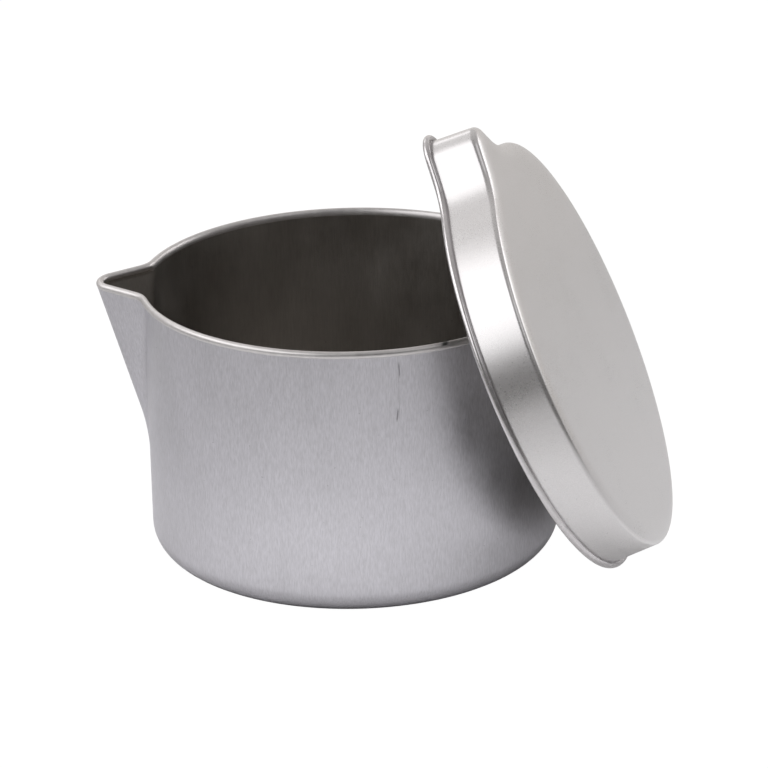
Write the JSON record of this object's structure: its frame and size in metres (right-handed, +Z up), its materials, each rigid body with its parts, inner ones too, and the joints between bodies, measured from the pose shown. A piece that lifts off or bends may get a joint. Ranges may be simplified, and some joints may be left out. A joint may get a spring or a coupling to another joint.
{
  "type": "candle melting pot",
  "caption": "Small round metal cup with a pressed pouring spout and a rolled rim, its matching slip-on lid leaning against it.",
  "frame": {"origin": "centre of the cup's flat base, on the surface it stands on", "axes": "+Z up along the cup's axis, -X towards the pouring spout, the lid leans on the +X side"},
  "size_m": [0.1077, 0.0865, 0.0842],
  "materials": {
    "pot_metal": "satin, with fine upright draw lines and a brighter rolled rim",
    "lid_metal": "satin disc with a shinier skirt"
  },
  "bodies": {
    "pot": {"pot": "pot_metal"},
    "lid": {"lid": "lid_metal"}
  },
  "joints": [
    {"name": "lid_lift", "type": "slide", "parent": "pot", "child": "lid", "axis": [0, 0, 1], "range_m": [0, 0.06]}
  ]
}
